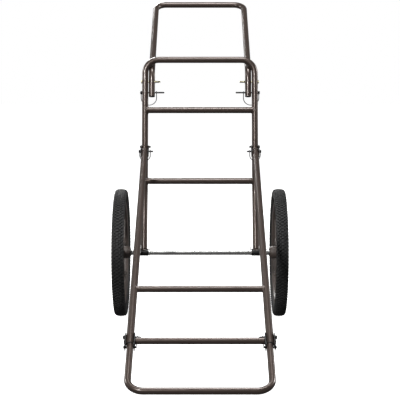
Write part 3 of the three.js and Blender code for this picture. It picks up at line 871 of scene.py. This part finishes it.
class CART_OT_bed(CartOperator, bpy.types.Operator):
    """Add the two bed rails, their crossbar, its welds and the rail end plugs"""
    bl_idname = "cart.bed"
    bl_label = "Bed"

    def build(self, tubes, hardware, _wheels):
        far = foot_reach(tubes.rail_end)
        for name, side in SIDES:
            x = side * tubes.rail_x
            add_piece(
                f"bed_rail_tube_{name}", lambda s, x=x: self.rail(s, tubes, x, far),
                "bronze_coat", "bed", f"bed_rail_{name}",
                holes=[across(pin, pin_bore(hardware)) for pin in (BED_PIN_AT, FOOT_PIN_AT)])
            place = Matrix.Translation(on_bed(x, far)) @ BED_LINE.to_track_quat("X", "Z").to_matrix().to_4x4()
            add_piece(
                f"bed_rail_end_plug_{name}", lambda s, m=place: lathe(s, plug_profile(tubes), m, 36),
                "plug_plastic", "bed", f"bed_rail_plug_{name}")
        reach = tubes.bed_crossbar_at
        ends = [on_bed(side * (tubes.rail_x - 3 * MM), reach) for side in (-1, 1)]
        add_piece(
            "bed_crossbar_tube", lambda s: pipe(s, ends, tubes.small_radius, tubes.wall),
            "bronze_coat", "bed", "bed_crossbar")

        def welds(shape):
            for side in (-1, 1):
                root = on_bed(side * tubes.rail_x, reach)
                seam = saddle_path(
                    root, Vector((-side, 0, 0)), BED_LINE, tubes.small_radius * 1.02, tubes.tube_radius)
                bead(shape, seam, 1.8 * MM, 50 + side)

        add_piece("bed_welds", welds, "bronze_coat", "bed")

    def rail(self, shape, tubes, x, far):
        """A rail tube whose top end is cut round about its pin, to turn inside its bracket."""
        normal = bed_normal()
        rings = []
        for radius in (tubes.tube_radius, tubes.tube_radius - tubes.wall):
            for step in range(RAIL_STEPS + 1):
                ring = []
                for corner in range(RAIL_SIDES):
                    turn = 2 * math.pi * corner / RAIL_SIDES
                    high = radius * math.sin(turn)
                    start = -min(tubes.rail_start, math.sqrt(tubes.rail_sweep ** 2 - high ** 2))
                    reach = start + (far - start) * step / RAIL_STEPS
                    ring.append(shape.verts.new(on_bed(x + radius * math.cos(turn), reach) + normal * high))
                rings.append(ring)
        outer, inner = rings[:RAIL_STEPS + 1], rings[RAIL_STEPS + 1:]
        skin(shape, outer, caps=False)
        skin(shape, inner, caps=False)
        skin(shape, [outer[0], inner[0]], caps=False)
        skin(shape, [outer[-1], inner[-1]], caps=False)


class CART_OT_foot(CartOperator, bpy.types.Operator):
    """Add the front foot loop and the front crossbar, with black weld rings at its ends that paint the
    brackets' shade
    """
    bl_idname = "cart.foot"
    bl_label = "Front foot"

    def build(self, tubes, hardware, _wheels):
        corners = []
        for side in (-1, 1):
            x = side * tubes.foot_x
            points = [on_bed(x, foot_reach(tubes.foot_start)), on_bed(x, foot_reach(tubes.foot_bar_at))]
            corners += points if side < 0 else points[::-1]
        path = bent_path(corners, (tubes.foot_corner_radius, tubes.foot_corner_radius), 18)
        add_piece(
            "foot_tube", lambda s: pipe(s, path, tubes.small_radius, tubes.wall),
            "bronze_coat", "foot", "foot_frame", holes=[
                across(on_bed(0, foot_reach(tubes.foot_bolt)), bolt_bore(hardware))])
        reach = foot_reach(tubes.foot_crossbar_at)
        end = tubes.rail_x - hardware.bracket_inside - hardware.sheet - hardware.gap
        ends = [on_bed(-end, reach), on_bed(end, reach)]
        add_piece(
            "foot_crossbar_tube", lambda s: pipe(s, ends, tubes.small_radius, tubes.wall),
            "bronze_coat", "foot", "foot_crossbar")

        def welds(shape):
            for side in (-1, 1):
                centre = on_bed(side * (end - 0.6 * MM), reach)
                seam = circle_path(centre, tubes.small_radius, (1, 0, 0), 48)
                bead(shape, seam, 1.7 * MM, 70 + side)

        # The weld rings are black steel, not bronze: painted shade where the brackets darken the crossbar's
        # ends.
        add_piece("foot_welds_painted_shade", welds, "black_steel", "foot")


class CART_OT_brackets(CartOperator, bpy.types.Operator):
    """Add the bed hinge brackets and the front foot brackets"""
    bl_idname = "cart.brackets"
    bl_label = "Brackets"

    def build(self, tubes, hardware, _wheels):
        inside = hardware.bracket_inside
        outside = inside + hardware.sheet
        hinge = (
            (-47.4, -4.3), (-26.4, -16.3), (20, -16.3), (26, -10.3),
            (26, 2), (10, 14), (-22.4, 14), (-47.4, 2),
        )
        hinge_radii = (9, 8, 4, 4, 8, 10, 10, 9)
        foot = (
            (-18, -6.3), (-9, -16.3), (50.5, -16.3), (56.5, -10.3),
            (56.5, 6.3), (48.5, 14.3), (-7, 14.3), (-18, 4.3),
        )
        foot_radii = (8, 8, 4, 4, 6, 6, 10, 9)
        for name, side in SIDES:
            place = placed(on_bed(side * tubes.rail_x, 0), 1)
            holes = self.holes(hardware, BED_PIN_AT, on_upright_from_bed(tubes))
            self.bracket(f"hinge_bracket_folded_{name}", hinge, hinge_radii, (10, 25), place, inside, outside,
                         "upright", f"hinge_bracket_{name}", holes)
            place = placed(on_bed(side * tubes.rail_x, foot_reach(0)), 1)
            holes = self.holes(hardware, FOOT_PIN_AT, on_bed(0, foot_reach(tubes.foot_bolt)))
            self.bracket(f"foot_bracket_folded_{name}", foot, foot_radii, (18, 48.5), place, inside, outside,
                         "foot", f"foot_bracket_{name}", holes)

    def holes(self, hardware, pin, bolt):
        return [
            across(pin, pin_bore(hardware)),
            across(bolt, bolt_bore(hardware)),
        ]

    def bracket(self, label, outline, radii, web, place, inside, outside, body, node, holes):
        """Two ears, and a folded web under the rail. The outline is in millimetres down the bed line."""
        normal = bed_normal()

        def flat(points):
            return [
                Vector(((BED_LINE * p[0] + normal * p[1]).y * MM, (BED_LINE * p[0] + normal * p[1]).z * MM))
                for p in points]

        def fill(shape):
            ear = rounded_outline(flat(outline), [r * MM for r in radii])
            slab(shape, ear, inside, outside, place)
            slab(shape, ear, -outside, -inside, place)
            low, high = -outside / MM - WEB_STEP, -inside / MM
            strip = flat(((web[0], low), (web[1], low), (web[1], high), (web[0], high)))
            slab(shape, strip, -outside + 1 * MM, outside - 1 * MM, place, 0.3 * MM)

        add_piece(label, fill, "black_steel", body, node, smooth=30, holes=holes)


def thread_radius(radius, pitch, reach, turn):
    """Radius of a screw thread at a place along it."""
    phase = (reach / pitch + turn / (2 * math.pi)) % 1
    return radius - 0.55 * MM * abs(2 * phase - 1)


class CART_OT_bolts(CartOperator, bpy.types.Operator):
    """Add the handle bolts with their nuts, and the bolts of the brackets"""
    bl_idname = "cart.bolts"
    bl_label = "Bolts"

    def build(self, tubes, hardware, _wheels):
        gap = hardware.gap
        outside = tubes.rail_x + tubes.tube_radius + gap
        within = tubes.handle_x - tubes.tube_radius
        thread = within - hardware.handle_bolt_reach
        ear = tubes.rail_x + hardware.bracket_inside + hardware.sheet + gap
        reach = hardware.bracket_bolt_reach
        tail = 2 * tubes.rail_x - ear - reach + gap
        leg_pin = on_upright_from_bed(tubes)
        small = hardware.small_head
        for name, side in SIDES:
            place = placed(HANDLE_BOLT_AT, side)
            add_piece(
                f"handle_bolt_threaded_{name}",
                lambda s, m=place: self.bolt(s, hardware, outside, thread, hardware.big_head, m, within),
                "yellow_zinc", "upright", f"handle_bolt_{name}")
            add_piece(
                f"handle_push_nut_domed_{name}",
                lambda s, m=place: self.push_nut(s, hardware, within - gap, m),
                "yellow_zinc", "upright", f"handle_push_nut_{name}")
            place = placed(leg_pin, side)
            add_piece(
                f"bracket_bolt_threaded_{name}",
                lambda s, m=place: self.bolt(s, hardware, ear, tail, small, m, tail + reach),
                "black_steel", "upright", f"bracket_bolt_{name}")
            place = placed(on_bed(0, foot_reach(tubes.foot_bolt)), side)
            add_piece(
                f"foot_bolt_threaded_{name}",
                lambda s, m=place: self.bolt(s, hardware, ear, tail, small, m, tail + reach),
                "black_steel", "foot", f"foot_bolt_{name}")

    def bolt(self, shape, hardware, head_x, tip_x, head, place, thread_end):
        """A button-headed bolt whose inner end is threaded."""
        radius = hardware.bolt_radius
        pitch = hardware.thread_pitch
        sides = 24
        rings = []
        steps = int((thread_end - tip_x) / (pitch / 6))
        reaches = [tip_x + (thread_end - tip_x) * step / steps for step in range(steps + 1)]
        for number, reach in enumerate(reaches):
            taper = (1 - min(1, number / 5)) * 0.8 * MM
            rings.append(turned_ring(
                shape, place, reach, sides,
                lambda turn, x=reach, t=taper: thread_radius(radius, pitch, x, turn) - t))
        dome = soften([
            (radius, thread_end + 0.5 * MM), (radius, head_x), (head, head_x),
            (head - 0.6 * MM, head_x + 1.6 * MM),
            (head - 2.6 * MM, head_x + 3.4 * MM), (0.6 * MM, head_x + 4.2 * MM),
        ], 0.6 * MM)
        rings += [turned_ring(shape, place, x, sides, lambda _turn, r=around: r) for around, x in dome]
        skin(shape, rings)

    def push_nut(self, shape, hardware, face, place):
        """A thin dished ring pushed on to the thread."""
        bore = bolt_bore(hardware)
        wide = hardware.push_nut_radius
        lathe(shape, soften([
            (bore, face - 1.6 * MM), (wide, face - 1 * MM), (wide, face), (bore, face - 0.6 * MM),
        ], 0.2 * MM), place, 32, hollow=True)


def on_upright_from_bed(tubes):
    """Where the bed line, carried back over its pin, meets the legs' centreline."""
    line = upright_line(tubes)
    base = at(0, tubes.leg_bend_y, tubes.leg_bend_z)
    offset = BED_PIN_AT - base
    share = (offset.y * BED_LINE.z - offset.z * BED_LINE.y) / (line.y * BED_LINE.z - line.z * BED_LINE.y)
    return base + line * share


class CART_OT_pins(CartOperator, bpy.types.Operator):
    """Add the six wire lock pins: turned pins and their sprung bails"""
    bl_idname = "cart.pins"
    bl_label = "Lock pins"

    def build(self, tubes, hardware, _wheels):
        gap = hardware.gap
        outside = tubes.rail_x + tubes.tube_radius + gap
        ear = tubes.rail_x + hardware.bracket_inside + hardware.sheet
        short_eye = 2 * tubes.rail_x - ear - hardware.bail_eye_offset
        long_eye = tubes.handle_x - tubes.tube_radius - hardware.bail_eye_offset
        tilt = hardware.handle_bail_tilt
        sets = (
            ("handle_lock_pin", "handle_bail", "handle_lock", HANDLE_LOCK_AT, outside,
             hardware.handle_pin_tip, long_eye, hardware.handle_bail_drop, hardware.handle_bail_corner, tilt),
            ("bed_pin", "bed_pin_bail", "bed_lock", BED_PIN_AT, ear + gap, hardware.short_pin_tip,
             short_eye, hardware.short_bail_drop, hardware.short_bail_corner, 0),
            ("foot_pin", "foot_pin_bail", "foot_lock", FOOT_PIN_AT, ear + gap, hardware.short_pin_tip,
             short_eye, hardware.short_bail_drop, hardware.short_bail_corner, 0),
        )
        for pin, bail, body, spot, flange, tip, eye, drop, corner, lean in sets:
            for name, side in SIDES:
                place = Matrix.Translation(spot) @ Matrix.Rotation(lean, 4, "X") @ placed(Vector(), side)
                add_piece(
                    f"{pin}_turned_{name}",
                    lambda s, m=place, f=flange, t=tip: self.pin(s, hardware, f, t, m),
                    "black_steel", f"{body}_{name}", f"{pin}_{name}")
                neck = flange + hardware.pin_flange + hardware.wire_radius + gap
                add_piece(
                    f"{bail}_wire_{name}",
                    lambda s, m=place, n=neck, e=eye, d=drop, c=corner: self.bail(s, hardware, n, e, d, c, m),
                    "spring_wire", f"{body}_{name}", f"{bail}_{name}")

    def pin(self, shape, hardware, flange, tip, place):
        radius = hardware.pin_radius
        neck = flange + hardware.pin_flange
        wide = hardware.pin_flange_radius
        cap = hardware.pin_button_radius
        end = hardware.pin_button
        button = neck + 2 * hardware.wire_radius + 2 * hardware.gap
        lathe(shape, soften([
            (0.4 * MM, tip), (radius - 1 * MM, tip), (radius, tip + 2 * MM), (radius, flange),
            (wide, flange), (wide, neck), (radius, neck), (radius, button),
            (cap, button), (cap - 1 * MM, button + end), (0.4 * MM, button + end),
        ], 0.6 * MM), place, 32)

    def bail(self, shape, hardware, neck, tip, drop, corner, place):
        """A bow of wire with an eye coiled at each end."""
        wire = hardware.wire_radius
        eye = hardware.pin_radius + hardware.gap + 0.1 * MM + wire
        bow = bent_path([
            Vector((neck, 0, -eye)), Vector((neck, 0, -drop)),
            Vector((tip, 0, -drop)), Vector((tip, 0, -eye)),
        ], (corner, corner), 14)
        sweep(shape, [place @ point for point in bow], wire, 12)
        for x in (neck, tip):
            eye_path = circle_path(Vector((x, 0, 0)), eye, (1, 0, 0), 36)
            sweep(shape, [place @ point for point in eye_path], wire, 12, closed=True)


class CART_OT_wheels(CartOperator, bpy.types.Operator):
    """Add both wheels: knobbly tyres, moulded forked wheels and hub bushes"""
    bl_idname = "cart.wheels"
    bl_label = "Wheels"

    def build(self, tubes, hardware, wheels):
        for name, side in SIDES:
            place = placed(AXLE_AT + Vector((side * WHEEL_X, 0, 0)), side)
            body = f"wheel_{name}"
            add_piece(
                f"tyre_knobbly_{name}", lambda s, m=place: self.tyre(s, wheels, m),
                "tyre_rubber", body, f"tyre_{name}", smooth=40)
            add_piece(
                f"wheel_moulded_{name}", lambda s, m=place: self.wheel(s, wheels, m),
                "wheel_plastic", body, f"wheel_{name}", smooth=32)
            ends = (("inner_bush", -wheels.hub_inner, -1), ("outer_bush", wheels.hub_outer, 1))
            for label, end, way in ends:
                add_piece(
                    f"{label}_turned_{name}",
                    lambda s, m=place, e=end, w=way: self.bush(s, hardware, wheels, e, w, m),
                    "bush_plastic", body, f"{label}_{name}")

    def carcass(self, wheels):
        """Half section of the tyre, from the bead round the tread to the other bead."""
        half = wheels.tyre_width / 2
        tread = wheels.wheel_radius - wheels.knob_height
        seat = wheels.rim_radius + 1.5 * MM
        return [
            (seat, -11.3 * MM), (seat + 4.5 * MM, -12.3 * MM), (seat + 8 * MM, -18 * MM),
            (seat + 14 * MM, -half + 4.2 * MM), (seat + 21 * MM, -half + 2.1 * MM),
            (seat + 29 * MM, -half + 1.6 * MM), (seat + 36 * MM, -half + 2.6 * MM),
            (tread - 5.5 * MM, -half + 4.2 * MM), (tread - 2.2 * MM, -half + 8 * MM),
            (tread - 0.6 * MM, -half + 14 * MM), (tread, 0),
        ]

    def tyre(self, shape, wheels, place):
        half_section = self.carcass(wheels)
        section = half_section + [(radius, -x) for radius, x in half_section[-2::-1]]
        lathe(shape, section, place, 144, hollow=True)
        half = wheels.tyre_width / 2
        top = wheels.wheel_radius
        count = wheels.knobs
        rows = (
            (0, 5.6 * MM, 0.50, 0.0, 0.0, 0),
            (9.6 * MM, 3.4 * MM, 0.44, 0.5, 0.5 * MM, 0.18),
            (17.2 * MM, 3.2 * MM, 0.52, 0.0, 2.0 * MM, 0.45),
            (22.6 * MM, 2.2 * MM, 0.58, 0.5, 7.0 * MM, 1.15),
        )
        for offset, wide, fill, phase, drop, lean in rows:
            for mirror in ((1,) if offset == 0 else (-1, 1)):
                for step in range(count):
                    turn = 2 * math.pi * (step + phase) / count
                    reach = math.pi * top / count * fill
                    self.knob(shape, place, turn, mirror * offset, wide, reach, top - drop, mirror * lean,
                              wheels.knob_height, half)
        ribs = ((wheels.rim_radius + 22 * MM, 0.7 * MM), (wheels.rim_radius + 33 * MM, 0.7 * MM))
        for radius, thick in ribs:
            for mirror in (-1, 1):
                ring = circle_path(Vector((mirror * (half - 1.9 * MM), 0, 0)), radius, (1, 0, 0), 120)
                sweep(shape, [place @ point for point in ring], thick, 6, closed=True)

    def knob(self, shape, place, turn, offset, wide, reach, top, lean, height, half):
        """One tapered block of tread, leaning outwards by its row."""
        spin = Matrix.Rotation(turn, 4, "X")
        tip = Matrix.Translation((offset, 0, top)) @ Matrix.Rotation(lean, 4, "Y")
        rings = []
        for level, grow in ((-height - 2 * MM, 1.25), (-0.8 * MM, 1.0), (0, 0.82)):
            corners = (
                (-wide, -reach), (-wide * 0.55, -reach * 1.15), (wide * 0.55, -reach * 1.15), (wide, -reach),
                (wide, reach), (wide * 0.55, reach * 1.15), (-wide * 0.55, reach * 1.15), (-wide, reach),
            )
            ring = []
            for x, y in corners:
                point = tip @ Vector((x * grow, y * grow / 1.15, level))
                limit = Vector((max(-half, min(half, point.x)), point.y, point.z))
                keep = min(1, top / math.hypot(limit.y, limit.z))
                limit.y *= keep
                limit.z *= keep
                ring.append(shape.verts.new(place @ spin @ limit))
            rings.append(ring)
        skin(shape, rings)

    def wheel(self, shape, wheels, place):
        rim = wheels.rim_radius
        inner = rim - 14 * MM
        lathe(shape, soften([
            (inner, -15 * MM), (rim + 5 * MM, -16.5 * MM), (rim + 5 * MM, -13.2 * MM), (rim, -12.2 * MM),
            (rim, 12.2 * MM), (rim + 5 * MM, 13.2 * MM), (rim + 5 * MM, 16.5 * MM), (inner, 15 * MM),
            (inner - 3.5 * MM, 9 * MM), (inner - 3.5 * MM, -9 * MM), (inner, -15 * MM),
        ], 1.1 * MM)[:-1], place, 144, hollow=True)
        hub = wheels.hub_radius
        lathe(shape, soften([
            (wheels.hub_bore, -wheels.hub_inner), (hub - 4 * MM, -wheels.hub_inner),
            (hub, -wheels.hub_inner + 12 * MM), (hub, wheels.hub_outer - 8 * MM),
            (hub - 4 * MM, wheels.hub_outer), (wheels.hub_bore, wheels.hub_outer),
        ], 1.5 * MM), place, 64, hollow=True)
        fork = wheels.fork_at * inner
        for number in range(wheels.spokes):
            spin = place @ Matrix.Rotation(2 * math.pi * number / wheels.spokes, 4, "X")
            stem = [Vector(p) for p in (
                (-11 * MM, hub - 5 * MM), (11 * MM, hub - 5 * MM), (8.6 * MM, fork * 0.6), (9 * MM, fork),
                (0, fork + 12 * MM), (-9 * MM, fork), (-8.6 * MM, fork * 0.6))]
            slab(shape, rounded_outline(stem, [3 * MM] * 7, 3), -7.6 * MM, 7.6 * MM, spin, 1.4 * MM)
            for lean in (-wheels.fork_spread, wheels.fork_spread):
                end = Vector((math.sin(lean), math.cos(lean))) * (inner + 2 * MM)
                root = Vector((0, fork - 4 * MM))
                across = (end - root).normalized().orthogonal()
                arm = [root + across * 7.2 * MM, root - across * 7.2 * MM,
                       end - across * 7.6 * MM, end + across * 7.6 * MM]
                slab(shape, rounded_outline(arm, [2 * MM] * 4, 3), -6.8 * MM, 6.8 * MM, spin, 1.4 * MM)

    def bush(self, shape, hardware, wheels, end, way, place):
        bore = hardware.journal_radius + hardware.gap
        outer = wheels.hub_bore - hardware.gap
        face = end + way * 0.3 * MM
        flange = end + way * 1.7 * MM
        lathe(shape, soften([
            (bore, end - way * 20 * MM), (outer, end - way * 20 * MM), (outer, face), (16 * MM, face),
            (16 * MM, flange), (bore, flange),
        ], 0.5 * MM), place, 40, hollow=True)


class CART_OT_stage(bpy.types.Operator):
    """Add the floor, the studio lights and the camera"""
    bl_idname = "cart.stage"
    bl_label = "Stage"
    bl_options = {"REGISTER", "UNDO"}

    def execute(self, context):
        self.floor()
        self.lights(context.scene)
        self.camera(context.scene)
        return {"FINISHED"}

    def floor(self):
        half = 30

        def fill(shape):
            corners = [(-half, -half, 0), (half, -half, 0), (half, half, 0), (-half, half, 0)]
            shape.faces.new([shape.verts.new(corner) for corner in corners])

        floor = new_object("floor", fill, finish("floor"))
        floor.visible_glossy = False
        floor.visible_diffuse = False

    def lights(self, scene):
        world = bpy.data.worlds.new("studio")
        world.use_nodes = True
        tree = world.node_tree
        backdrop = tree.nodes["Background"]
        backdrop.inputs["Color"].default_value = (1, 1, 1, 1)
        fill = tree.nodes.new("ShaderNodeBackground")
        fill.inputs["Strength"].default_value = 0.14
        seen = tree.nodes.new("ShaderNodeLightPath")
        either = tree.nodes.new("ShaderNodeMixShader")
        tree.links.new(seen.outputs["Is Camera Ray"], either.inputs[0])
        tree.links.new(fill.outputs[0], either.inputs[1])
        tree.links.new(backdrop.outputs[0], either.inputs[2])
        tree.links.new(either.outputs[0], tree.nodes["World Output"].inputs["Surface"])
        scene.world = world
        scene.view_settings.view_transform = "Standard"
        aim = Vector((0, -0.2, 0.5))
        lamps = (
            ("key", (-1.8, -4.4, 3.2), 0.8, 190),
            ("top", (0.2, -0.4, 4.4), 1.6, 110),
            ("right", (4.4, 1.4, 2.4), 1.6, 120),
            ("left", (-4.4, 1.4, 2.4), 1.6, 90),
            ("back", (-1.2, 5.0, 3.2), 1.6, 150),
        )
        for name, place, size, power in lamps:
            light = bpy.data.lights.new(name, "AREA")
            light.shape = "DISK"
            light.size = size
            light.energy = power
            lamp = bpy.data.objects.new(name, light)
            lamp.location = place
            lamp.rotation_euler = (aim - Vector(place)).to_track_quat("-Z", "Y").to_euler()
            scene.collection.objects.link(lamp)

    def camera(self, scene):
        lens = bpy.data.cameras.new("camera")
        lens.sensor_width = 36
        lens.lens = 104.85
        lens.clip_end = 100
        camera = bpy.data.objects.new("camera", lens)
        camera.location = (0, AXLE_AT.y - 4.633, 0.978)
        camera.rotation_euler = (math.radians(90 - 6.3), 0, 0)
        scene.collection.objects.link(camera)
        scene.camera = camera


class CART_PT_panel(bpy.types.Panel):
    """The cart's pieces and sizes"""
    bl_idname = "CART_PT_panel"
    bl_label = "Game cart"
    bl_space_type = "VIEW_3D"
    bl_region_type = "UI"
    bl_category = "Cart"

    def draw(self, context):
        column = self.layout.column(align=True)
        for operator in OPERATORS:
            column.operator(operator.bl_idname)
        for group in (context.scene.cart_tubes, context.scene.cart_hardware,
                      context.scene.cart_wheels, context.scene.cart_finishes):
            box = self.layout.box()
            for name in group.__annotations__:
                box.prop(group, name)


GROUPS = (
    ("cart_tubes", CartTubes), ("cart_hardware", CartHardware),
    ("cart_wheels", CartWheels), ("cart_finishes", CartFinishes),
)
OPERATORS = (
    CART_OT_stage, CART_OT_upright, CART_OT_axle, CART_OT_handle, CART_OT_bed, CART_OT_foot,
    CART_OT_brackets, CART_OT_bolts, CART_OT_pins, CART_OT_wheels,
)


def register():
    for name, group in GROUPS:
        bpy.utils.register_class(group)
        setattr(bpy.types.Scene, name, PointerProperty(type=group))
    for operator in OPERATORS:
        bpy.utils.register_class(operator)
    bpy.utils.register_class(CART_PT_panel)


def unregister():
    bpy.utils.unregister_class(CART_PT_panel)
    for operator in reversed(OPERATORS):
        bpy.utils.unregister_class(operator)
    for name, group in reversed(GROUPS):
        delattr(bpy.types.Scene, name)
        bpy.utils.unregister_class(group)


def main():
    register()
    for operator in OPERATORS:
        getattr(bpy.ops.cart, operator.bl_idname.split(".")[1])()


if __name__ == "__main__":
    main()
